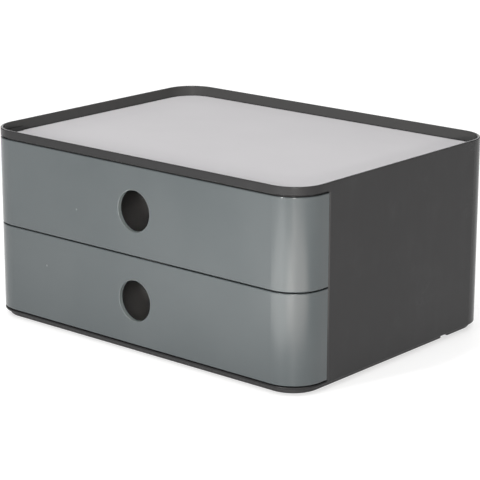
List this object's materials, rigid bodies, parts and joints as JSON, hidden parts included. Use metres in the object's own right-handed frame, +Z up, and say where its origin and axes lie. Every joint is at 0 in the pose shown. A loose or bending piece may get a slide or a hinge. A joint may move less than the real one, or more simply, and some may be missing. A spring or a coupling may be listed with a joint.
{
  "type": "desktop file drawer",
  "caption": "Desktop storage box with stacked sliding drawers, finger holes in wrap-round fronts, a rimmed top with a laid-in plate, and an inset plinth that lets boxes stack.",
  "frame": {"origin": "middle of the footprint, on the surface that the feet stand on", "axes": "+X to the object's left-to-right as seen from the front, +Y towards the back, +Z up; the drawers pull out towards -Y"},
  "size_m": [0.26, 0.195, 0.1255],
  "materials": {
    "housing": "fine satin moulded plastic, dark grey",
    "base": "satin moulded plastic, dark grey",
    "deck": "fine matt texture, light grey",
    "inner": "satin moulded plastic, dark grey",
    "rail": "smooth low-friction plastic, mid grey",
    "pads": "black rubber",
    "front": "semi-gloss moulded plastic, blue-grey",
    "tray": "satin moulded plastic, warm grey",
    "screws": "zinc-plated steel"
  },
  "bodies": {
    "housing": {"housing_shell": "housing", "base_plate": "base", "deck_plate": "deck", "divider_shelf": "inner", "guide_rail_upper_left": "rail", "guide_rail_upper_right": "rail", "guide_rail_lower_left": "rail", "guide_rail_lower_right": "rail", "rear_bumpers_upper": "pads", "rear_bumpers_lower": "pads", "foot_front_left": "pads", "foot_front_right": "pads", "foot_rear_left": "pads", "foot_rear_right": "pads"},
    "drawer_upper": {"drawer_front_upper": "front", "drawer_tray_upper": "tray", "front_screws_upper": "screws"},
    "drawer_lower": {"drawer_front_lower": "front", "drawer_tray_lower": "tray", "front_screws_lower": "screws"}
  },
  "joints": [
    {"name": "drawer_upper_slide", "type": "slide", "parent": "housing", "child": "drawer_upper", "axis": [0, -1, 0], "range_m": [0, 0.125]},
    {"name": "drawer_lower_slide", "type": "slide", "parent": "housing", "child": "drawer_lower", "axis": [0, -1, 0], "range_m": [0, 0.125]}
  ]
}
